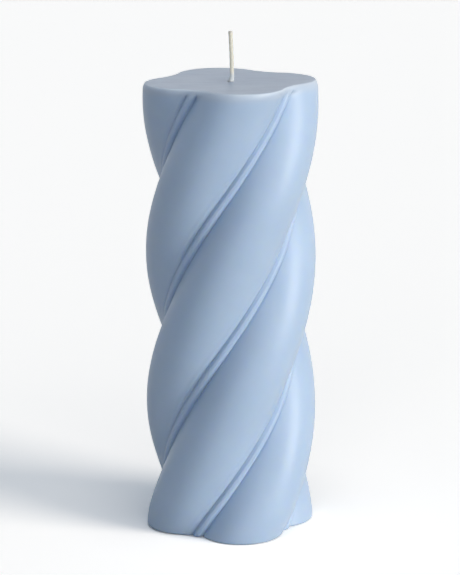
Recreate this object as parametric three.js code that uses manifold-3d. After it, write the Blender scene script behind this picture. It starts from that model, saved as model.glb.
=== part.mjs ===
// Swirl pillar candle: a poured wax body with four twisted lobes, a cotton wick
// through its whole height, and the stamped metal clip that holds the wick in the foot.
// Millimetres, +Z up. The origin is the centre of the foot, on the surface it stands on.
// The side towards -Y is the front.

import * as THREE from 'three';
import { mergeVertices } from 'three/addons/utils/BufferGeometryUtils.js';
import Module from 'manifold-3d';

// Wax body, overall
const bodyHeight = 190;        // foot to top face
const crestRadius = 36.2;       // axis to the crest of a lobe, halfway between waist and ends
const waistDraw = 1.1;         // how much smaller that radius is at mid-height than at the ends
const twistDegrees = 270.8;    // turn from foot to top face, right-handed, as a common screw
const footAzimuth = -30.9;     // direction of one valley at the foot, from +X towards +Y
const topEdgeHeight = 3;       // the edge round the top face starts to round off this far down
const topEdgeInset = 1;        // and has drawn in by this much where it meets the top face
const footEdge = 1.2;          // radius of the edge round the foot
const footDraw = 0.8;          // how far the sides draw in towards that edge
const footDrawHeight = 12;     // over this much height

// Wax body, horizontal section. "Across" is measured from the middle of a valley, and it
// counts as positive on the side that the twist moves towards.
const lobeCount = 4;
const lobeRadius = 17.75;      // round lobes, whose flanks run on down to the bead
const beadAcross = -0.4;       // middle of the narrow bead that stands along each valley
const beadHalfWidth = 1.6;     // of its gently rounded crown
const beadReach = 28.95;       // axis to the middle of the crown
const beadCrown = 0.65;        // how much lower the crown's edges are
const beadWall = 0.7;          // width of the steep wall from the crown down to the crease
const swellAcross = -4.5;      // the flank on the bead's near side is this much fuller,
const swellHalfWidth = 2.8;    // so that it rolls over into the crease
const swellHeight = 0.4;
const openValleyRadius = 25.6; // under the top edge the valley is one open concave arc
const carvingEnd = 1.2;        // which ends this far below the top face
const carvingFade = 2.8;       // and turns into the carved valley over this much height

// Wick
const wickRadius = 0.8;
const wickFree = 20.8;         // length that stands above the top face
const wickLean = 0.5;          // how far the tip leans towards -X
const wickTipRounding = 0.4;
const wickCollarHeight = 3;    // set wax round the wick where it leaves the body
const wickCollarLap = 0.15;    // how far that collar lies over the edge of the channel
const wickClearance = 0.25;    // round the wick, in the wax and in the clip's pinched neck

// Wick clip
const clipDiscRadius = 10;
const clipSheet = 0.3;         // thickness of the tinplate
const clipInset = 0.6;         // underside of the disc above the foot
const clipNeckRadius = 2;      // outside of the neck
const clipNeckHeight = 9;      // top of the neck above the disc's underside
const clipBend = 1.2;          // radius between the disc's top and the neck
const clipPinchLength = 4;     // stretch of neck that is pinched onto the wick
const clipPinches = 4;
const clipClearance = 0.3;     // between clip and wax where they do not touch

// How finely curves are divided
const crownSteps = 3;
const flankSteps = 3;          // from a crease to where the open valley ends
const halfLobeSteps = 6;
const sideSteps = 52;          // levels between the two rounded edges
const roundingSteps = 3;
const bendSteps = 4;
const wickSides = 14;
const wickSteps = 8;
const collarSteps = 3;
const clipSides = 40;
const pinchSteps = 4;

// Sizes that follow from those above
const halfPitch = Math.PI / lobeCount;
const lobeDistance = crestRadius - lobeRadius;
const lobeX = lobeDistance * Math.cos(halfPitch);
const lobeY = lobeDistance * Math.sin(halfPitch);
const valleyX = lobeX + Math.sqrt((lobeRadius + openValleyRadius) ** 2 - lobeY ** 2);
const valleySweep = Math.atan2(lobeY, valleyX - lobeX);
const valleyEnd = openValleyRadius * Math.sin(valleySweep);
const channelRadius = wickRadius + wickClearance;
const clipTop = clipInset + clipSheet;
const clipNeckTop = clipInset + clipNeckHeight;
const overshoot = 1;           // how far a cutter reaches past the face that it opens

const wasm = await Module();
wasm.setup();

// A closed body through rings that lie one above the other. Every ring has the same
// number of points, counter-clockwise seen from above.
function loft(rings) {
  const count = rings[0].length;
  const lastRing = (rings.length - 1) * count;
  const points = rings.flat();
  const middle = (ring) => ring.reduce((sum, p) => sum.add(p), new THREE.Vector3()).divideScalar(count);
  const bottom = points.push(middle(rings[0])) - 1;
  const top = points.push(middle(rings[rings.length - 1])) - 1;
  const faces = [];
  for (let i = 0; i < count; i++) {
    const next = (i + 1) % count;
    for (let low = 0; low < lastRing; low += count) {
      const high = low + count;
      faces.push(low + i, low + next, high + i);
      faces.push(low + next, high + next, high + i);
    }
    faces.push(bottom, next, i);
    faces.push(top, lastRing + i, lastRing + next);
  }
  return new THREE.BufferGeometry().setFromPoints(points).setIndex(faces);
}

// A turned body about +Z, from a profile of [radius, height] pairs.
function turned(profile, sides) {
  const points = profile.map(([radius, height]) => new THREE.Vector2(radius, height));
  return new THREE.LatheGeometry(points, sides).rotateX(Math.PI / 2);
}

// The same surface with shared corners and no empty faces.
function welded(geometry) {
  const bare = geometry.clone();
  bare.deleteAttribute('normal');
  bare.deleteAttribute('uv');
  const merged = mergeVertices(bare);
  const index = merged.index.array;
  const faces = [];
  for (let i = 0; i < index.length; i += 3) {
    const [a, b, c] = index.slice(i, i + 3);
    if (a !== b && b !== c && c !== a) faces.push(a, b, c);
  }
  return merged.setIndex(faces);
}

function toSolid(geometry) {
  const closed = welded(geometry);
  return new wasm.Manifold(new wasm.Mesh({
    numProp: 3,
    vertProperties: new Float32Array(closed.attributes.position.array),
    triVerts: new Uint32Array(closed.index.array),
  }));
}

function toGeometry(solid) {
  const { vertProperties, triVerts } = solid.getMesh();
  const geometry = new THREE.BufferGeometry();
  geometry.setAttribute('position', new THREE.BufferAttribute(vertProperties, 3));
  return geometry.setIndex(new THREE.BufferAttribute(triVerts, 1));
}

function makePiece(name, geometry, look) {
  geometry.computeVertexNormals();
  const mesh = new THREE.Mesh(geometry, new THREE.MeshStandardMaterial(look));
  mesh.name = name;
  return mesh;
}

// A rounded edge as [distance from the face, inset] pairs, from the face to the side:
// a quarter of an ellipse that is as high as the first size and as deep as the second.
function roundedEdge(high, deep) {
  const steps = [];
  for (let i = 0; i <= roundingSteps; i++) {
    const turn = (Math.PI / 2) * (i / roundingSteps);
    steps.push([high * (1 - Math.cos(turn)), deep * (1 - Math.sin(turn))]);
  }
  return steps;
}

// How far the lobes reach out at a place across the valley on +X.
function lobeReach(across) {
  const reach = lobeX + Math.sqrt(lobeRadius ** 2 - (lobeY - Math.abs(across)) ** 2);
  const fromSwell = Math.min(Math.abs(across - swellAcross) / swellHalfWidth, 1);
  return reach + swellHeight * Math.cos((fromSwell * Math.PI) / 2) ** 2;
}

// How far the bead's crown reaches out, at a place that is a share of its half width.
// The crown is nearly flat in the middle and falls off towards its edges.
function crownReach(share) {
  return beadReach - beadCrown * Math.abs(share) ** 3;
}

// A point of the section in that valley. x is its place where the valley is open, and
// carvedX is its place where bead and creases are full. outX, outY is the way out of the wax.
function valleyPoint(across, carvedX) {
  const outX = Math.sqrt(1 - (across / openValleyRadius) ** 2);
  const outY = -across / openValleyRadius;
  return { x: valleyX - openValleyRadius * outX, carvedX, y: across, outX, outY };
}

// A point of the section on the lobe to one side, +1 or -1, of that valley, in a
// direction from the lobe's own centre.
function lobePoint(side, turn) {
  const outX = Math.cos(turn);
  const outY = side * Math.sin(turn);
  const x = lobeX + lobeRadius * outX;
  return { x, carvedX: x, y: side * lobeY + lobeRadius * outY, outX, outY };
}

// Evenly spaced values from one to another, without the last.
function spaced(from, to, steps) {
  return Array.from({ length: steps }, (_, i) => THREE.MathUtils.lerp(from, to, i / steps));
}

// The section from the crest of one lobe across the valley on +X to the next crest, which
// is left out: half a lobe, its flank, the bead between two creases, and the same back.
function sectorSection() {
  const crease = beadHalfWidth + beadWall;
  const onFlank = (across) => valleyPoint(across, lobeReach(across));
  const onCrown = (share) => valleyPoint(beadAcross + beadHalfWidth * share, crownReach(share));
  return [
    ...spaced(halfPitch, -valleySweep, halfLobeSteps).map((turn) => lobePoint(-1, turn)),
    ...spaced(-valleyEnd, beadAcross - crease, flankSteps).map(onFlank),
    onFlank(beadAcross - crease),
    ...spaced(-1, 1, crownSteps).map(onCrown),
    onCrown(1),
    ...spaced(beadAcross + crease, valleyEnd, flankSteps).map(onFlank),
    ...spaced(-valleySweep, halfPitch, halfLobeSteps).map((turn) => lobePoint(1, turn)),
  ];
}

// The wax surface at one height, turned to its place in the twist. At the rounded
// edges the whole outline moves in by the inset.
function bodyRing(section, height, inset) {
  const share = height / bodyHeight;
  const girth = 1 + (waistDraw / crestRadius) * ((2 * share - 1) ** 2 - 0.5);
  const depth = bodyHeight - height;
  const carved = THREE.MathUtils.smoothstep(depth, carvingEnd, carvingEnd + carvingFade);
  const turn = THREE.MathUtils.degToRad(footAzimuth + twistDegrees * share);
  const ring = [];
  for (let lobe = 0; lobe < lobeCount; lobe++) {
    const angle = turn + lobe * 2 * halfPitch;
    for (const point of section) {
      const x = (THREE.MathUtils.lerp(point.x, point.carvedX, carved) - point.outX * inset) * girth;
      const y = (point.y - point.outY * inset) * girth;
      ring.push(new THREE.Vector3(
        x * Math.cos(angle) - y * Math.sin(angle),
        x * Math.sin(angle) + y * Math.cos(angle),
        height,
      ));
    }
  }
  return ring;
}

// How far the sides have drawn in at a height near the foot.
function footTaper(height) {
  return footDraw * Math.max(1 - height / footDrawHeight, 0) ** 2;
}

function twistedColumn() {
  const levels = roundedEdge(footEdge, footEdge);
  for (let i = 1; i < sideSteps; i++) {
    levels.push([THREE.MathUtils.lerp(footEdge, bodyHeight - topEdgeHeight, i / sideSteps), 0]);
  }
  for (const [depth, inset] of roundedEdge(topEdgeHeight, topEdgeInset).reverse()) {
    levels.push([bodyHeight - depth, inset]);
  }
  const section = sectorSection();
  return loft(levels.map(([height, inset]) => bodyRing(section, height, inset + footTaper(height))));
}

// What is hollow in the wax: the clip's seat in the foot, the bore round its neck,
// and the wick's channel up to the top face. The seat's ceiling rests on the disc.
function wickHollow() {
  const seat = clipDiscRadius + clipClearance;
  const bore = clipNeckRadius + clipClearance;
  const boreTop = clipNeckTop + clipClearance;
  return turned([
    [0, -overshoot],
    [seat, -overshoot],
    [seat, clipTop],
    [bore + clipBend, clipTop],
    [bore, clipTop + clipBend],
    [bore, boreTop],
    [channelRadius, boreTop],
    [channelRadius, bodyHeight + overshoot],
    [0, bodyHeight + overshoot],
  ], clipSides);
}

function waxBody() {
  const solid = toSolid(twistedColumn()).subtract(toSolid(wickHollow()));
  return makePiece('wax_body', toGeometry(solid), { color: 0x9cb4d2, roughness: 0.45, metalness: 0 });
}

// The wick runs straight up its channel from the clip, widens to a collar that sits on
// the top face, and leans a little as it rises to its rounded tip.
function wick() {
  const levels = [[clipInset, wickRadius], [bodyHeight, wickRadius]];
  for (let i = 0; i < collarSteps; i++) {
    const share = i / collarSteps;
    const swell = (wickClearance + wickCollarLap) * (1 - share) ** 2;
    levels.push([bodyHeight + wickCollarHeight * share, wickRadius + swell]);
  }
  for (let i = 0; i < wickSteps; i++) {
    const height = THREE.MathUtils.lerp(wickCollarHeight, wickFree - wickTipRounding, i / wickSteps);
    levels.push([bodyHeight + height, wickRadius]);
  }
  for (const [depth, inset] of roundedEdge(wickTipRounding, wickTipRounding).reverse()) {
    levels.push([bodyHeight + wickFree - depth, wickRadius - inset]);
  }
  const rings = levels.map(([height, radius]) => {
    const lean = wickLean * Math.max(0, (height - bodyHeight) / wickFree) ** 2;
    const ring = [];
    for (let side = 0; side < wickSides; side++) {
      const turn = (2 * Math.PI * side) / wickSides;
      ring.push(new THREE.Vector3(radius * Math.cos(turn) - lean, radius * Math.sin(turn), height));
    }
    return ring;
  });
  return makePiece('wick', loft(rings), { color: 0xd9d4c8, roughness: 0.8, metalness: 0 });
}

// The clip is one stamping: a flat disc whose middle is drawn up into a neck. Near its
// top the neck is pinched in on all sides until it holds the wick.
function wickClip() {
  const innerRadius = clipNeckRadius - clipSheet;
  const bendX = clipNeckRadius + clipBend;
  const bendZ = clipTop + clipBend;
  const pinchMiddle = (bendZ + clipNeckTop) / 2;
  const outer = [[clipDiscRadius, clipTop]];
  const inner = [[clipDiscRadius, clipInset]];
  for (let i = 0; i <= bendSteps; i++) {
    const turn = (Math.PI / 2) * (i / bendSteps);
    outer.push([bendX - clipBend * Math.sin(turn), bendZ - clipBend * Math.cos(turn)]);
    const under = clipBend + clipSheet;
    inner.push([bendX - under * Math.sin(turn), bendZ - under * Math.cos(turn)]);
  }
  for (let i = 0; i <= pinchSteps; i++) {
    const height = pinchMiddle + clipPinchLength * (i / pinchSteps - 0.5);
    outer.push([clipNeckRadius, height]);
    inner.push([innerRadius, height]);
  }
  outer.push([clipNeckRadius, clipNeckTop]);
  inner.push([innerRadius, clipNeckTop]);
  const profile = [...outer, ...inner.reverse()];
  const geometry = welded(turned([...profile, profile[0]], clipSides));

  const pinchDepth = innerRadius - channelRadius;
  const corner = new THREE.Vector3();
  const position = geometry.attributes.position;
  for (let i = 0; i < position.count; i++) {
    corner.fromBufferAttribute(position, i);
    const fromMiddle = Math.abs(corner.z - pinchMiddle) / (clipPinchLength / 2);
    if (fromMiddle >= 1) continue;
    const radius = Math.hypot(corner.x, corner.y);
    const around = Math.cos((clipPinches * Math.atan2(corner.y, corner.x)) / 2) ** 2;
    const along = Math.cos((fromMiddle * Math.PI) / 2) ** 2;
    const pinched = (radius - pinchDepth * around * along) / radius;
    position.setXYZ(i, corner.x * pinched, corner.y * pinched, corner.z);
  }
  return makePiece('wick_clip', geometry, { color: 0xb9bcc0, roughness: 0.35, metalness: 1 });
}

const candle = new THREE.Group();
candle.add(waxBody(), wick(), wickClip());

export default candle;
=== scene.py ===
"""A swirl pillar candle: a twisted four-lobed body of blue wax, a braided wick and the clip in its foot.

Lengths are in metres and angles in radians, apart from those that are given in degrees to sun().
+Z is up along the candle's axis, -Y is towards the camera and +X is to its right.
"""

import math

import bpy
import numpy as np
from mathutils import Matrix, Vector, noise


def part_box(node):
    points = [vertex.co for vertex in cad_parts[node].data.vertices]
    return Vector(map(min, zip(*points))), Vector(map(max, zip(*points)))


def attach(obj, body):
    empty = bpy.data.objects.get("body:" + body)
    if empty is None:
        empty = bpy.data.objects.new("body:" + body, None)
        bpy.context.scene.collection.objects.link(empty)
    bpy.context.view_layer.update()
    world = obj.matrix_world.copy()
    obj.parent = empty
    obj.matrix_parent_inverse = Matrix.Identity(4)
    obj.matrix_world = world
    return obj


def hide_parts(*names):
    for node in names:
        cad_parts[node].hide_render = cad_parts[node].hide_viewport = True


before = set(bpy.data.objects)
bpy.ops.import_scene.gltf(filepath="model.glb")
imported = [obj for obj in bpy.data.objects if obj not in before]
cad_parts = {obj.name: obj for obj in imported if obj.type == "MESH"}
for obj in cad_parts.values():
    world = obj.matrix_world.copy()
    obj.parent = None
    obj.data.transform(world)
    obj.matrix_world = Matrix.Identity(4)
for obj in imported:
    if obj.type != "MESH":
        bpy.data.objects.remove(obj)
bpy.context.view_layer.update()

MM = 0.001

# Overall sizes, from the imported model.
BODY_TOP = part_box("wax_body")[1].z
WICK_FOOT, WICK_TOP = (corner.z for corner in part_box("wick"))
CLIP_FOOT, CLIP_NECK_TOP = (corner.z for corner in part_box("wick_clip"))
CLIP_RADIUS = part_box("wick_clip")[1].x

# The body's horizontal section: round lobes that meet in valleys. Places across a valley are measured
# from its middle, positive on the side that the twist moves towards.
LOBES = 4
CREST_RADIUS = 36.2 * MM  # axis to a lobe's crest, halfway between waist and ends
LOBE_RADIUS = 17.75 * MM

# The bead that stands along each valley, with a crease on either side.
BEAD_ACROSS = -0.2 * MM  # its middle
BEAD_HALF_WIDTH = 1.54 * MM  # of its rounded crown
BEAD_REACH = 28.95 * MM  # axis to the middle of the crown
BEAD_CROWN = 0.65 * MM  # how much lower the crown's edges are
NEAR_WALL = 0.8 * MM  # width of the wall from the crown down to the near crease
FAR_WALL = 0.9 * MM  # and down to the far one,
FAR_GROOVE = 0.3 * MM  # which is cut this far into the flank
FAR_LIP = 0.9 * MM  # and opens out onto it over this width
BEAD_WANDER = 0.15 * MM  # how far the bead's line strays to either side
BEAD_WANDER_LENGTH = 9 * MM  # over about this much height
BEAD_NOISE_STEP = 7.1  # the beads read the noise this far apart, so that each strays by itself

# The flank on the bead's near side is a little fuller, so that it rolls over into the crease.
SWELL_ACROSS = -3.6 * MM
SWELL_HALF_WIDTH = 2.8 * MM
SWELL_HEIGHT = 0.45 * MM

# Under the top edge a valley is one open concave arc.
OPEN_VALLEY_RADIUS = 25.6 * MM
CARVING_END = 1.2 * MM  # bead and creases end this far below the top face
CARVING_FADE = 2.8 * MM  # and fade out over this much height

# How the section changes on its way up.
TWIST = math.radians(270.8)  # from foot to top face, right-handed, like a common screw
FOOT_AZIMUTH = math.radians(-30.9)  # direction of one valley at the foot
WAIST_DRAW = 1.1 * MM  # how much smaller the crest radius is at mid-height than at the ends
TOP_EDGE_HEIGHT = 3 * MM  # the top edge starts to round off this far down
TOP_EDGE_INSET = 1 * MM  # and has drawn in by this much at the top face
FOOT_EDGE = 1.2 * MM  # radius of the edge round the foot
FOOT_DRAW = 0.8 * MM  # how far the sides draw in towards that edge
FOOT_DRAW_HEIGHT = 12 * MM  # over this much height

# The hand of the pour: shallow unevenness of the sides, the foot and the top face.
SIDE_WAVES = 0.05 * MM
SIDE_WAVE_SIZE = 22 * MM
SIDE_WAVE_SINK = 0.8  # the waves lie this share of their height lower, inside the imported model's size
SIDE_WAVE_FADE = 8 * MM  # they fade out over this much height at the foot and at the top
FOOT_SHIFT = np.array([-0.4, -1]) * MM  # the foot stands this far to the left and to the front,
FOOT_SHIFT_HEIGHT = 30 * MM  # and from here up the sides are back in place
TOP_DIP = 0.3 * MM  # how far the top face sinks towards the wick
DIP_FLOOR_RADIUS = 6 * MM
DIP_RADIUS = 30 * MM
TOP_WAVES = 0.06 * MM
TOP_WAVE_SIZE = 9 * MM
TOP_WAVE_FADE = 0.25  # share of the way in from the rim over which they rise

# The hollow for the clip and the wick.
SEAT_CLEARANCE = 0.3 * MM
SEAT_TOP = 0.9 * MM
SEAT_CHAMFER = 0.15 * MM
BEND = 1.2 * MM  # from the clip's disc up into its neck
NECK_RADIUS = 2 * MM
CHANNEL_RADIUS = 1.05 * MM

# The wick. Its free end steps to the right as it leaves the wax and leans back to the left, like a bow.
WICK_RADIUS = 0.88 * MM
WICK_STEP = 0.6 * MM
STEP_FROM, STEP_TO = -1 * MM, 2 * MM  # heights above the top face
WICK_LEAN = 0.65 * MM
WICK_TIP = 0.4 * MM  # height of its rounded end
TIP_SWEEP = 0.48 * math.pi  # just under a quarter turn, so that the end's last ring is still open
TIP_FACE = 0.3  # rings drawn in to less than this share close the end's nearly flat face
COLLAR_RADIUS = 1.3 * MM
COLLAR_HEIGHT = 3 * MM
COLLAR_ROOT = 1 * MM  # how far the collar reaches into the wax
BRAID_STRANDS = 4
BRAID_PITCH = 3.2 * MM
BRAID_RELIEF = 0.1 * MM
BRAID_FROM, BRAID_TO = 0.5 * MM, 4 * MM  # heights above the top face, where it comes out of the set wax
STRAND_LEVEL = 0.65  # a strand's height between two crossings, as a share of the relief
STRAND_WEAVE = 0.35  # how much it rises over one crossing and dips under the next

# The clip.
CLIP_SHEET = 0.3 * MM
RIB_INNER_RADIUS = 6.4 * MM  # a low rib runs round the disc
RIB_OUTER_RADIUS = 8.6 * MM
RIB_HEIGHT = 0.12 * MM
PINCHES = 4
PINCH_LENGTH = 4 * MM
NECK_TOLERANCE = 0.01 * MM  # points this little outside the neck's radius still belong to it

# How finely the pieces are meshed. The wax has its closest points over the bead and its creases.
CLOSE_NEAR, CLOSE_FAR = 4 * MM, 3.4 * MM  # how far they reach to the bead's near and far side
NEAR_FLANK_STEPS, CLOSE_STEPS, FAR_FLANK_STEPS = 8, 51, 9
LOBE_STEPS = 21
FOOT_EDGE_STEPS, SIDE_STEPS, TOP_EDGE_STEPS = 8, 140, 16
TOP_FACE_STEPS, CHANNEL_STEPS, FOOT_FACE_STEPS = 30, 15, 7
WICK_SIDES, HIDDEN_RINGS, TIP_STEPS = 64, 12, 8
BRAID_RING_GAP = 0.1 * MM
BRAID_RINGS_FROM = -1.4 * MM  # height above the top face
CLIP_SIDES, RIB_POINTS, BEND_STEPS, NECK_STEPS, SHEET_EDGE_STEPS = 96, 12, 8, 25, 6
SHARP_ANGLE = math.radians(50)

# How far apart in x, y and z the noise is read for one seed and for the next one.
SEED_STEP = (1, 2.3, -1.7)

# The open section's arcs: the centres of the lobe and of the valley on +X, and where they meet.
PITCH = 2 * math.pi / LOBES
LOBE_X = (CREST_RADIUS - LOBE_RADIUS) * math.cos(PITCH / 2)
LOBE_Y = (CREST_RADIUS - LOBE_RADIUS) * math.sin(PITCH / 2)
VALLEY_X = LOBE_X + math.sqrt((LOBE_RADIUS + OPEN_VALLEY_RADIUS) ** 2 - LOBE_Y**2)
VALLEY_SWEEP = math.atan2(LOBE_Y, VALLEY_X - LOBE_X)
VALLEY_END = OPEN_VALLEY_RADIUS * math.sin(VALLEY_SWEEP)


def smoothstep(value, start, end):
    """Eases from 0 at start to 1 at end."""
    share = np.clip((value - start) / (end - start), 0, 1)
    return share * share * (3 - 2 * share)


def noise_at(points, size, seed):
    """Smooth noise of about -1 to 1 at each point, with features of about this size."""
    shift = Vector([step * seed for step in SEED_STEP])
    flat = points.reshape(-1, 3) / size
    values = [noise.noise(Vector(point) + shift) for point in flat]
    return np.array(values).reshape(points.shape[:-1])


def all_round(count):
    """This many even angles round the axis."""
    return np.linspace(0, 2 * math.pi, count, endpoint=False)


def circle(radius, height, angles):
    """Points on a level circle round the axis, at these angles."""
    return np.stack([radius * np.cos(angles), radius * np.sin(angles), np.full_like(angles, height)], axis=-1)


def angles_of(ring):
    """The angle round the axis of each point of a ring."""
    return np.arctan2(ring[:, 1], ring[:, 0])


def lattice_piece(name, rings, node, material, capped=False):
    """Makes a closed mesh piece from equal rings of points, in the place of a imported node.

    The last ring joins the first one, or with capped a face closes each of the two.
    """
    levels, around = rings.shape[:2]
    index = np.arange(levels * around).reshape(levels, around)
    upper = np.roll(index, -1, axis=0)
    quads = np.stack([index, np.roll(index, -1, axis=1), np.roll(upper, -1, axis=1), upper], axis=-1)
    bands = levels - 1 if capped else levels
    faces = quads[:bands].reshape(-1, 4).tolist()
    if capped:
        faces += [index[0, ::-1].tolist(), index[-1].tolist()]
    mesh = bpy.data.meshes.new(name)
    mesh.from_pydata(rings.reshape(-1, 3).tolist(), [], faces)
    mesh.shade_smooth()
    mesh.set_sharp_from_angle(angle=SHARP_ANGLE)
    mesh.materials.append(material)
    piece = bpy.data.objects.new(name, mesh)
    bpy.context.scene.collection.objects.link(piece)
    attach(piece, "root")
    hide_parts(node)


# The body.


def across_stations():
    """Places across a valley that get a row of points, close together over the bead and its creases."""
    near, far = BEAD_ACROSS - CLOSE_NEAR, BEAD_ACROSS + CLOSE_FAR
    return np.concatenate([
        np.linspace(-VALLEY_END, near, NEAR_FLANK_STEPS, endpoint=False),
        np.linspace(near, far, CLOSE_STEPS, endpoint=False),
        np.linspace(far, VALLEY_END, FAR_FLANK_STEPS + 1),
    ])


def lobe_reach(across):
    """How far the lobes reach out at places across the valley on +X."""
    from_swell = np.minimum(np.abs(across - SWELL_ACROSS) / SWELL_HALF_WIDTH, 1)
    lobe = LOBE_X + np.sqrt(LOBE_RADIUS**2 - (LOBE_Y - np.abs(across)) ** 2)
    return lobe + SWELL_HEIGHT * np.cos(from_swell * math.pi / 2) ** 2


def carved_reach(across, wander):
    """How far the carved valley reaches out: the lobes' flanks, and the bead with its walls and creases."""
    from_bead = across - BEAD_ACROSS - wander
    distance = np.abs(from_bead)
    crown = BEAD_REACH - BEAD_CROWN * np.minimum(distance / BEAD_HALF_WIDTH, 1) ** 3
    wall_end = BEAD_HALF_WIDTH + np.where(from_bead < 0, NEAR_WALL, FAR_WALL)
    groove = np.where(from_bead < 0, 0, FAR_GROOVE)
    crease = lobe_reach(across - from_bead + np.sign(from_bead) * wall_end) - groove
    wall = smoothstep(distance, BEAD_HALF_WIDTH, wall_end)
    flank = lobe_reach(across) - groove * (1 - smoothstep(distance, wall_end, wall_end + FAR_LIP))
    return np.where(wall < 1, crown + (crease - crown) * wall, flank)


def section(wander):
    """One sector's points, crest to crest across the valley on +X.

    Each has its x without and with the carving, its y, and the x and y of the way out of the surface.
    """
    across = across_stations()
    out_x, out_y = np.sqrt(1 - (across / OPEN_VALLEY_RADIUS) ** 2), -across / OPEN_VALLEY_RADIUS
    open_x = VALLEY_X - OPEN_VALLEY_RADIUS * out_x
    valley = np.stack([open_x, carved_reach(across, wander), across, out_x, out_y], -1)
    turns = np.linspace(-VALLEY_SWEEP, PITCH / 2, LOBE_STEPS + 1)[1:]
    lobe_x, lobe_y = LOBE_X + LOBE_RADIUS * np.cos(turns), LOBE_Y + LOBE_RADIUS * np.sin(turns)
    lobe = np.stack([lobe_x, lobe_x, lobe_y, np.cos(turns), np.sin(turns)], -1)
    other_lobe = (lobe * (1, 1, -1, 1, -1))[::-1]
    return np.concatenate([other_lobe, valley, lobe[:-1]])


def bead_drift(height, lobe):
    """How far one bead's line strays at a height, from about -1 to 1."""
    return noise.noise(Vector((height / BEAD_WANDER_LENGTH, BEAD_NOISE_STEP * lobe, 0)))


def body_ring(height, inset):
    """One level ring of the body's surface, this far inside the full section."""
    share = height / BODY_TOP
    carved = smoothstep(BODY_TOP - height, CARVING_END, CARVING_END + CARVING_FADE)
    girth = 1 + WAIST_DRAW / CREST_RADIUS * ((2 * share - 1) ** 2 - 0.5)
    ring = []
    for lobe in range(LOBES):
        open_x, carved_x, y, out_x, out_y = section(BEAD_WANDER * bead_drift(height, lobe)).T
        x = (open_x + (carved_x - open_x) * carved - out_x * inset) * girth
        y = (y - out_y * inset) * girth
        turn = FOOT_AZIMUTH + TWIST * share + lobe * PITCH
        cosine, sine = math.cos(turn), math.sin(turn)
        turned_x, turned_y = x * cosine - y * sine, x * sine + y * cosine
        ring.append(np.stack([turned_x, turned_y, np.full_like(x, height)], axis=-1))
    return np.concatenate(ring)


def side_levels():
    """Heights and insets of the rings up the side, with the rounded edges and the foot's taper."""
    foot_turns = np.linspace(0, math.pi / 2, FOOT_EDGE_STEPS + 1)
    between = np.linspace(FOOT_EDGE, BODY_TOP - TOP_EDGE_HEIGHT, SIDE_STEPS + 1)[1:-1]
    top_turns = np.linspace(math.pi / 2, 0, TOP_EDGE_STEPS + 1)
    heights = np.concatenate([
        FOOT_EDGE * (1 - np.cos(foot_turns)),
        between,
        BODY_TOP - TOP_EDGE_HEIGHT * (1 - np.cos(top_turns)),
    ])
    insets = np.concatenate([
        FOOT_EDGE * (1 - np.sin(foot_turns)),
        np.zeros_like(between),
        TOP_EDGE_INSET * (1 - np.sin(top_turns)),
    ])
    return heights, insets + FOOT_DRAW * np.maximum(1 - heights / FOOT_DRAW_HEIGHT, 0) ** 2


def side_rings():
    """Rings up the side, with its shallow waves and the foot's shift."""
    side = np.array([body_ring(height, inset) for height, inset in zip(*side_levels())])
    outward = side[..., :2] / np.linalg.norm(side[..., :2], axis=-1, keepdims=True)
    height = side[..., 2]
    held = smoothstep(height, 0, SIDE_WAVE_FADE) * smoothstep(BODY_TOP - height, 0, SIDE_WAVE_FADE)
    waves = noise_at(side, SIDE_WAVE_SIZE, seed=3) - SIDE_WAVE_SINK
    side[..., :2] += outward * (SIDE_WAVES * held * waves)[..., None]
    side[..., :2] += (1 - smoothstep(side[..., 2:], 0, FOOT_SHIFT_HEIGHT)) * FOOT_SHIFT
    return side


def top_rings(rim):
    """Rings in over the top face, from the side's last ring to the channel's mouth."""
    mouth = circle(CHANNEL_RADIUS, BODY_TOP, angles_of(rim))
    shares = np.linspace(0, 1, TOP_FACE_STEPS + 1)[1:, None, None]
    top = rim + (mouth - rim) * shares
    dip = 1 - smoothstep(np.linalg.norm(top[..., :2], axis=-1), DIP_FLOOR_RADIUS, DIP_RADIUS)
    held = smoothstep(shares[..., 0], 0, TOP_WAVE_FADE)
    top[..., 2] -= TOP_DIP * dip + TOP_WAVES * held * (1 + noise_at(top, TOP_WAVE_SIZE, seed=5))
    return top


def channel_rings(mouth, bottom):
    """Rings down the straight channel, whose points turn back by the twist that the side's have turned."""
    start = np.unwrap(angles_of(mouth))
    end = np.unwrap(angles_of(bottom))
    missing_turns = (start[0] - TWIST - end[0]) / (2 * math.pi)
    end += 2 * math.pi * round(missing_turns)
    top, drop = mouth[0, 2], bottom[0, 2] - mouth[0, 2]
    shares = np.linspace(0, 1, CHANNEL_STEPS + 1)[1:-1]
    return np.array([
        circle(CHANNEL_RADIUS, top + drop * share, start + (end - start) * share) for share in shares
    ])


def hollow_rings(angles):
    """Rings round the hollow for the clip: out over the neck's end, down the neck and out over the seat."""
    neck_top = CLIP_NECK_TOP + SEAT_CLEARANCE
    neck = NECK_RADIUS + SEAT_CLEARANCE
    seat = CLIP_RADIUS + SEAT_CLEARANCE
    outline = [
        (CHANNEL_RADIUS, neck_top),
        (neck, neck_top),
        (neck, SEAT_TOP + BEND),
        (neck + BEND, SEAT_TOP),
        (seat, SEAT_TOP),
        (seat, SEAT_CHAMFER),
        (seat + SEAT_CHAMFER, 0),
    ]
    return np.array([circle(radius, height, angles) for radius, height in outline])


def wax_rings():
    """Rings up the side, in over the top face, down the channel and hollow and out over the foot's face."""
    side = side_rings()
    foot = side[0]
    top = top_rings(side[-1])
    hollow = hollow_rings(angles_of(foot))
    shares = np.linspace(0, 1, FOOT_FACE_STEPS + 1)[1:-1, None, None]
    foot_face = hollow[-1] + (foot - hollow[-1]) * shares
    return np.concatenate([side, top, channel_rings(top[-1], hollow[0]), hollow, foot_face])


# The wick.


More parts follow.
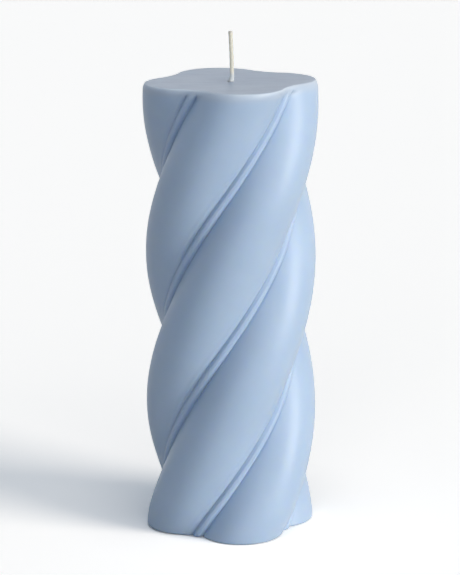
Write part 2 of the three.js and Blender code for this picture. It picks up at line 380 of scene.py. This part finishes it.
def strands(own, other, way):
    """Relief of the strands that wind one way, round across and alternately over and under the other ones."""
    over = way * np.where(np.floor(own) % 2 == 0, 1, -1) * np.sin(math.pi * other)
    roundness = np.sqrt(np.clip(1 - (2 * (own % 1) - 1) ** 2, 0, 1))
    return roundness * (STRAND_LEVEL + STRAND_WEAVE * over)


def braid(angles, height):
    """Relief of a plaited cord from 0 to 1, all round at one height."""
    turned = BRAID_STRANDS * angles / (2 * math.pi)
    risen = height / BRAID_PITCH
    right, left = turned + risen, turned - risen
    return np.clip(np.maximum(strands(right, left, 1), strands(left, right, -1)), 0, 1)


def rounded_tip(cord, rounding):
    """The cord's radii at the tip, where rounding falls from 1.

    Its highest strand follows the rounded edge, and the last rings close the nearly flat face.
    """
    if rounding > TIP_FACE:
        return WICK_RADIUS - WICK_TIP * (1 - rounding) - cord.max() + cord
    return cord * rounding


def wick_ring(height, rounding):
    """One ring of the wick: plain inside the wax, with a collar of set wax at the top face, then braided."""
    angles = all_round(WICK_SIDES)
    rise = height - BODY_TOP
    bare = smoothstep(rise, BRAID_FROM, BRAID_TO)
    radii = WICK_RADIUS - BRAID_RELIEF * bare * (1 - braid(angles, height))
    if rounding < 1:
        radii = rounded_tip(radii, rounding)
    if rise > -COLLAR_ROOT:
        radii += (COLLAR_RADIUS - WICK_RADIUS) * max(0, 1 - max(rise, 0) / COLLAR_HEIGHT) ** 2
    ring = circle(radii, height, angles)
    ring[:, 0] -= WICK_LEAN * (max(rise, 0) / (WICK_TOP - BODY_TOP)) ** 2
    ring[:, 0] += WICK_STEP * smoothstep(rise, STEP_FROM, STEP_TO)
    return ring


def wick_rings():
    """Rings up the wick, close together where its braid shows and round its tip."""
    braided_foot = BODY_TOP + BRAID_RINGS_FROM
    hidden = np.linspace(WICK_FOOT, braided_foot - BRAID_RING_GAP, HIDDEN_RINGS)
    braided = np.arange(braided_foot, WICK_TOP - WICK_TIP, BRAID_RING_GAP)
    tip_turns = np.linspace(0, TIP_SWEEP, TIP_STEPS + 1)
    rings = [wick_ring(height, 1) for height in np.concatenate([hidden, braided])]
    rings += [wick_ring(WICK_TOP - WICK_TIP * (1 - math.sin(turn)), math.cos(turn)) for turn in tip_turns]
    return np.array(rings)


# The clip. Its sheet's section is drawn in the plane of radius and height.

HALF_SHEET = CLIP_SHEET / 2
BEND_CENTRE = (NECK_RADIUS + BEND - HALF_SHEET, CLIP_FOOT + HALF_SHEET + BEND)


def clip_middle_line():
    """The middle of the sheet: in over the disc and its rib, round the bend and up the neck."""
    level = CLIP_FOOT + HALF_SHEET
    points = [(CLIP_RADIUS - HALF_SHEET, level)]
    for radius in np.linspace(RIB_OUTER_RADIUS, RIB_INNER_RADIUS, RIB_POINTS):
        share = (radius - RIB_INNER_RADIUS) / (RIB_OUTER_RADIUS - RIB_INNER_RADIUS)
        points.append((radius, level + RIB_HEIGHT * math.sin(math.pi * share) ** 2))
    for turn in np.linspace(0, math.pi / 2, BEND_STEPS + 1):
        points.append((BEND_CENTRE[0] - BEND * math.sin(turn), BEND_CENTRE[1] - BEND * math.cos(turn)))
    for height in np.linspace(BEND_CENTRE[1], CLIP_NECK_TOP - HALF_SHEET, NECK_STEPS + 1)[1:]:
        points.append((NECK_RADIUS - HALF_SHEET, height))
    return np.array(points)


def sheet_edge(point, forward, sideways):
    """Points round the sheet's edge, from one face to the other."""
    forward = forward / np.linalg.norm(forward)
    turns = np.linspace(math.pi / 2, -math.pi / 2, SHEET_EDGE_STEPS + 1)[1:-1, None]
    return point + HALF_SHEET * (forward * np.cos(turns) + sideways * np.sin(turns))


def clip_outline():
    """The whole outline of the sheet's section."""
    line = clip_middle_line()
    along = np.gradient(line, axis=0)
    across = np.stack([along[:, 1], -along[:, 0]], -1) / np.linalg.norm(along, axis=-1, keepdims=True)
    return np.concatenate([
        line + across * HALF_SHEET,
        sheet_edge(line[-1], along[-1], across[-1]),
        (line - across * HALF_SHEET)[::-1],
        sheet_edge(line[0], -along[0], -across[0]),
    ])


def clip_rings():
    """Rings round the clip, one for each point of the outline, with the neck pinched onto the wick."""
    angles = all_round(CLIP_SIDES)
    pinch_middle = (BEND_CENTRE[1] + CLIP_NECK_TOP) / 2
    deepest = NECK_RADIUS - CLIP_SHEET - CHANNEL_RADIUS
    rings = []
    for radius, height in clip_outline():
        place = np.clip((height - pinch_middle) / PINCH_LENGTH, -0.5, 0.5)
        pinch = deepest * math.cos(math.pi * place) ** 2 * np.cos(PINCHES * angles / 2) ** 2
        in_neck = radius < NECK_RADIUS + NECK_TOLERANCE
        rings.append(circle(radius - pinch * in_neck, height, angles))
    return np.array(rings)


# Materials.


def node(tree, kind, links=(), **settings):
    """Adds a shader node, sets its properties and unlinked inputs by name, and links its inputs."""
    made = tree.nodes.new(kind)
    for key, value in settings.items():
        if hasattr(made, key):
            setattr(made, key, value)
        else:
            made.inputs[key.replace("_", " ")].default_value = value
    for name, source in dict(links).items():
        tree.links.new(source, made.inputs[name])
    return made


def new_material(name):
    """A material and its empty node tree."""
    material = bpy.data.materials.new(name)
    material.use_nodes = True
    material.node_tree.nodes.clear()
    return material, material.node_tree


def add_surface(tree, kind, links=(), **settings):
    """Adds a shader and makes it the material's surface."""
    shader = node(tree, kind, links, **settings)
    node(tree, "ShaderNodeOutputMaterial", {"Surface": shader.outputs[0]})


def linear(level):
    """A linear brightness from an 8-bit sRGB level."""
    share = level / 255
    return share / 12.92 if share <= 0.04045 else ((share + 0.055) / 1.055) ** 2.4


def srgb(red, green, blue):
    """A linear colour from 8-bit sRGB levels."""
    return (linear(red), linear(green), linear(blue), 1)


def blend(tree, factor, first, second):
    """Mixes two colours by a factor. The mix node's inputs 6 and 7 and output 2 are its colour sockets."""
    mix = tree.nodes.new("ShaderNodeMix")
    mix.data_type = "RGBA"
    tree.links.new(factor, mix.inputs[0])
    for socket, colour in ((mix.inputs[6], first), (mix.inputs[7], second)):
        if isinstance(colour, tuple):
            socket.default_value = colour
        else:
            tree.links.new(colour, socket)
    return mix.outputs[2]


def ranged(tree, value, low=0.3, high=0.7, to_low=0, to_high=1):
    """Maps a value smoothly from one range to another. Nearly all cloudy noise lies in the default range."""
    return node(
        tree, "ShaderNodeMapRange", {"Value": value}, interpolation_type="SMOOTHSTEP",
        From_Min=low, From_Max=high, To_Min=to_low, To_Max=to_high,
    ).outputs[0]


def near_top(tree, height, start, end):
    """Rises from 0 at one distance under the top face to 1 at another."""
    return ranged(tree, height, BODY_TOP - start, BODY_TOP - end)


def mottle(tree, place, **settings):
    """Cloudy noise from 0 to 1."""
    return node(tree, "ShaderNodeTexNoise", {"Vector": place}, **settings).outputs["Fac"]


def upward_part(tree, vector):
    """How far a vector goes up."""
    return node(tree, "ShaderNodeSeparateXYZ", {"Vector": vector}).outputs["Z"]


def seen(tree):
    """1 for what is seen directly, reflected or through something clear, and 0 for what only gives light."""
    path = node(tree, "ShaderNodeLightPath").outputs
    either = path["Is Camera Ray"]
    for kind in ("Is Glossy Ray", "Is Transmission Ray"):
        either = node(tree, "ShaderNodeMath", {0: either, 1: path[kind]}, operation="MAXIMUM").outputs[0]
    return either


def wax_material():
    """Satin dyed wax: faintly clouded and more translucent near the rim, paler near the rim by painted light,
    and greyer on the top face by painted shade.
    """
    side_blues = srgb(175, 195, 219), srgb(179, 198, 222)
    # painted light: paler blues near the rim stand in for light shining through the wax's top edge
    upper_painted_glow_blue = srgb(187, 199, 215)
    rim_painted_glow_blue = srgb(191, 201, 214)
    # painted shade: the top face is the same wax as the sides, given a darker, greyer blue
    shaded_top_blues = srgb(161, 173, 192), srgb(168, 180, 198)
    side_scatter = (0.5, 0.7, 1.2, 1)
    rim_scatter = (3.8, 3.6, 3.6, 1)

    material, tree = new_material("dyed_wax")
    coordinates = node(tree, "ShaderNodeTexCoord").outputs
    place = coordinates["Object"]
    height = upward_part(tree, place)
    clouds = mottle(tree, place, Scale=45, Detail=3, Roughness=0.55)
    stretched = node(tree, "ShaderNodeMapping", {"Vector": place}, Scale=(0.5, 1.6, 1)).outputs["Vector"]
    streaks = mottle(tree, stretched, Scale=150, Detail=5, Roughness=0.55)
    grain = mottle(tree, place, Scale=2600, Detail=2)

    side = blend(tree, ranged(tree, clouds), *side_blues)
    # painted light: the sides turn paler towards the rim, as if lit through the edge
    side = blend(tree, near_top(tree, height, start=5 * MM, end=1 * MM), side, upper_painted_glow_blue)
    side = blend(tree, near_top(tree, height, start=1.2 * MM, end=0.3 * MM), side, rim_painted_glow_blue)
    # painted shade: the top face's colour is darker and greyer than the sides'
    top = blend(tree, ranged(tree, streaks, low=0.35, high=0.65), *shaded_top_blues)
    top_face_shade_mask = ranged(tree, upward_part(tree, coordinates["Normal"]), low=0.8, high=0.98)
    scatter = blend(tree, near_top(tree, height, start=9 * MM, end=1 * MM), side_scatter, rim_scatter)
    bump = node(tree, "ShaderNodeBump", {"Height": grain}, Strength=0.12, Distance=0.05 * MM)
    add_surface(
        tree, "ShaderNodeBsdfPrincipled",
        {
            "Base Color": blend(tree, top_face_shade_mask, side, top),
            "Roughness": ranged(tree, clouds, to_low=0.37, to_high=0.43),
            "Normal": bump.outputs[0],
            "Subsurface Radius": scatter,
        },
        Subsurface_Weight=1.0, Subsurface_Scale=1 * MM, IOR=1.43,
    )
    return material


def cotton_material():
    """Unbleached cotton soaked in pale wax: whiter and glossier in its collar, greyer at its tip."""
    cottons = srgb(232, 213, 188), srgb(243, 225, 203)
    tip_grey = srgb(192, 184, 172)
    collar_white = srgb(205, 206, 205)

    material, tree = new_material("waxed_cotton")
    place = node(tree, "ShaderNodeTexCoord").outputs["Object"]
    height = upward_part(tree, place)
    waxed = ranged(tree, height, BODY_TOP + 1.5 * MM, BODY_TOP + 5 * MM, to_low=1, to_high=0)
    at_tip = ranged(tree, height, WICK_TOP - 1.5 * MM, WICK_TOP)
    fibres = mottle(tree, place, Scale=3000, Detail=3)
    bump = node(tree, "ShaderNodeBump", {"Height": fibres}, Strength=0.35, Distance=0.08 * MM)
    cord = blend(tree, at_tip, blend(tree, ranged(tree, fibres), *cottons), tip_grey)
    add_surface(
        tree, "ShaderNodeBsdfPrincipled",
        {
            "Base Color": blend(tree, waxed, cord, collar_white),
            "Roughness": ranged(tree, waxed, low=0, high=1, to_low=0.75, to_high=0.4),
            "Normal": bump.outputs[0],
        },
        Subsurface_Weight=1.0, Subsurface_Radius=(1.0, 0.95, 0.9), Subsurface_Scale=5 * MM, IOR=1.3,
    )
    return material


def tin_material():
    """Thin stamped tinplate with fine turned scratches and a dull bloom."""
    bright_tin, dull_tin = srgb(196, 198, 201), srgb(172, 174, 178)

    material, tree = new_material("tinplate")
    place = node(tree, "ShaderNodeTexCoord").outputs["Object"]
    bloom = mottle(tree, place, Scale=300, Detail=4)
    reach = node(tree, "ShaderNodeVectorMath", {0: place}, operation="LENGTH").outputs["Value"]
    turned = node(tree, "ShaderNodeTexNoise", {"W": reach}, noise_dimensions="1D", Scale=5200, Detail=3)
    bump = node(tree, "ShaderNodeBump", {"Height": turned.outputs["Fac"]}, Strength=0.25, Distance=0.02 * MM)
    add_surface(
        tree, "ShaderNodeBsdfPrincipled",
        {
            "Base Color": blend(tree, ranged(tree, bloom, low=0.35), bright_tin, dull_tin),
            "Roughness": ranged(tree, bloom, to_low=0.28, to_high=0.42),
            "Normal": bump.outputs[0],
        },
        Metallic=1.0,
    )
    return material


# The stage: a plain floor that looks as white as the background, and keeps the candle's shadow.

FLOOR_REACH = 12  # metres to each side
FLOOR_GREY = (0.5, 0.5, 0.5, 1)  # its colour for the light that it gives back
FLOOR_SEEN = (1.555, 1.455, 1.375, 1)  # its colour where seen, which makes up for the light's level and tint


def floor_material():
    """A plain sweep, scaled up to the background's white where it is seen, shadow included."""
    material, tree = new_material("floor")
    add_surface(tree, "ShaderNodeBsdfDiffuse", {"Color": blend(tree, seen(tree), FLOOR_GREY, FLOOR_SEEN)})
    return material


def add_floor():
    """A level square floor that reaches past the view from any side."""
    corners = [(x * FLOOR_REACH, y * FLOOR_REACH, 0) for x, y in ((-1, -1), (1, -1), (1, 1), (-1, 1))]
    mesh = bpy.data.meshes.new("floor")
    mesh.from_pydata(corners, [], [(0, 1, 2, 3)])
    mesh.materials.append(floor_material())
    floor = bpy.data.objects.new("floor", mesh)
    bpy.context.scene.collection.objects.link(floor)


# The photograph's camera.

PHOTO_HEIGHT = 575  # pixels
FOCAL_LENGTH = 2797  # pixels
SENSOR = 36  # millimetres along the photograph's height
CAMERA_PLACE = (-0.35 * MM, -1146.5 * MM, 372.5 * MM)
CAMERA_TILT = math.radians(76.726)  # from straight down
CAMERA_ROLL = math.radians(-0.08)
FARTHEST_SEEN = 100  # metres


def add_camera():
    """Adds the camera, at the photograph's viewing angle."""
    data = bpy.data.cameras.new("camera")
    data.sensor_width = SENSOR
    data.lens = SENSOR * FOCAL_LENGTH / PHOTO_HEIGHT
    data.clip_end = FARTHEST_SEEN
    camera = bpy.data.objects.new("camera", data)
    camera.location = CAMERA_PLACE
    tilt, roll = Matrix.Rotation(CAMERA_TILT, 3, "X"), Matrix.Rotation(CAMERA_ROLL, 3, "Z")
    camera.rotation_euler = (tilt @ roll).to_euler()
    bpy.context.scene.collection.objects.link(camera)
    bpy.context.scene.camera = camera


# Light: a soft warm key from the right, two weaker lamps in front and above, and an even blue surround.

BACKGROUND = linear(250)  # brightness of the white behind the candle
SURROUND = 0.13  # strength of the light from all round, where full white is 1
SURROUND_TINT = (0.56, 0.96, 1.42, 1)
UNTINTED = (1, 1, 1, 1)


def sun(name, azimuth, elevation, width, strength, colour=(1, 1, 1)):
    """A soft lamp that fills an angle of this width. Azimuth 0 is the camera's side and 90 is to its right.

    A strength of 1 shows a white face that is turned to the lamp as full white.
    """
    data = bpy.data.lights.new(name, "SUN")
    data.energy = strength * math.pi
    data.angle = math.radians(width)
    data.color = colour
    lamp = bpy.data.objects.new(name, data)
    turn, rise = math.radians(azimuth), math.radians(elevation)
    towards = Vector((math.sin(turn) * math.cos(rise), -math.cos(turn) * math.cos(rise), math.sin(rise)))
    lamp.rotation_euler = towards.to_track_quat("Z", "Y").to_euler()
    bpy.context.scene.collection.objects.link(lamp)


def add_surround():
    """A faint blue light from all round, which looks like the plain white background where it is seen."""
    world = bpy.data.worlds.new("world")
    bpy.context.scene.world = world
    world.use_nodes = True
    tree = world.node_tree
    tree.nodes.clear()
    shown = seen(tree)
    strength = node(tree, "ShaderNodeMapRange", {"Value": shown}, To_Min=SURROUND, To_Max=BACKGROUND)
    tint = blend(tree, shown, SURROUND_TINT, UNTINTED)
    light = node(tree, "ShaderNodeBackground", {"Strength": strength.outputs[0], "Color": tint})
    node(tree, "ShaderNodeOutputWorld", {"Surface": light.outputs[0]})


lattice_piece("candle_wax", wax_rings(), "wax_body", wax_material())
lattice_piece("braided_wick", wick_rings(), "wick", cotton_material(), capped=True)
lattice_piece("stamped_clip", clip_rings(), "wick_clip", tin_material())
add_floor()
add_camera()
sun("key", azimuth=60, elevation=18, width=30, strength=0.8, colour=(1, 0.975, 0.91))
sun("front", azimuth=10, elevation=20, width=60, strength=0.26, colour=(1, 1, 0.97))
sun("top", azimuth=0, elevation=85, width=30, strength=0.2)
add_surround()
bpy.context.scene.view_settings.view_transform = "Standard"
